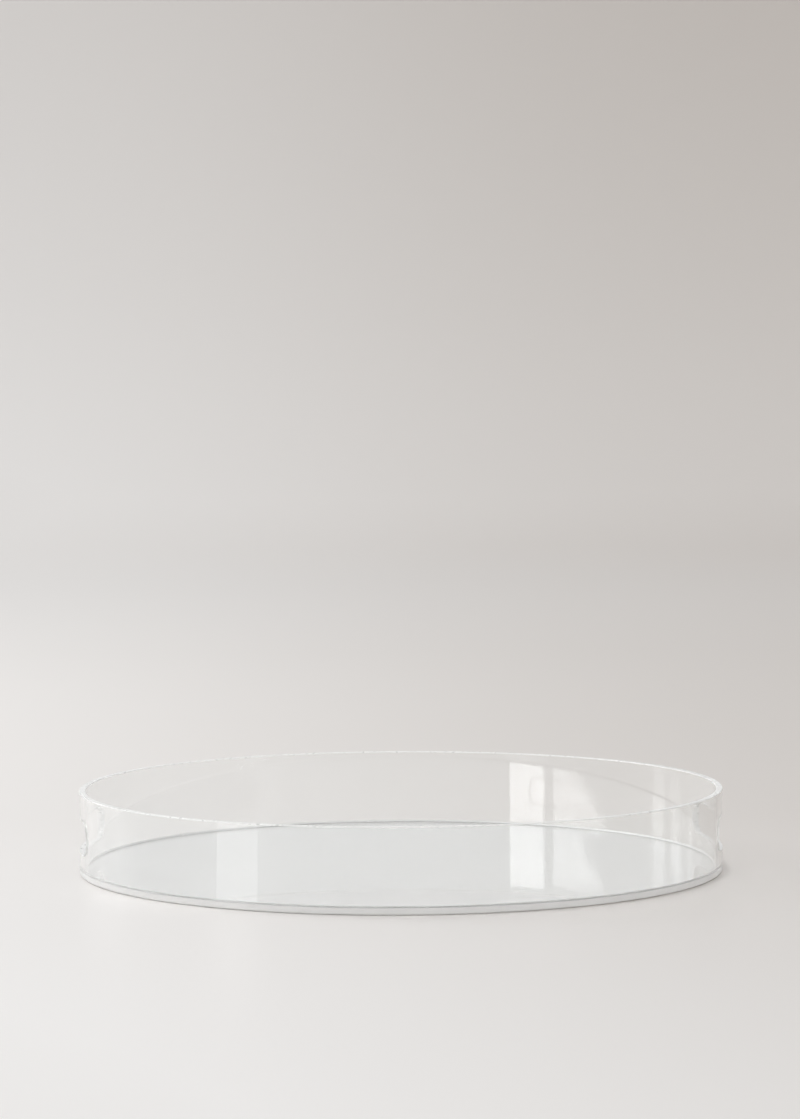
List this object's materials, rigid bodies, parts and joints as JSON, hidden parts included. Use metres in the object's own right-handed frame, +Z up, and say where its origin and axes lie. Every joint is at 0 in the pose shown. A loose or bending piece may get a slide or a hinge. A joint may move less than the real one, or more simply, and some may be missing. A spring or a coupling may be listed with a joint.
{
  "type": "vanity tray",
  "caption": "Round clear acrylic tray with a flat base, a low upright wall and rounded hand slots, for bottles and small items on a dressing table.",
  "frame": {"origin": "centre of the underside, on the surface that the tray stands on", "axes": "+Z up through the centre of the tray; +X and -X through the middles of the two hand slots"},
  "size_m": [0.4, 0.4, 0.051],
  "materials": {
    "acrylic_sheet": "polished",
    "acrylic_tube": "polished",
    "acrylic_cement": "gloss"
  },
  "bodies": {
    "root": {"base_disc": "acrylic_sheet", "wall_ring": "acrylic_tube", "cement_ring": "acrylic_cement"}
  },
  "joints": []
}
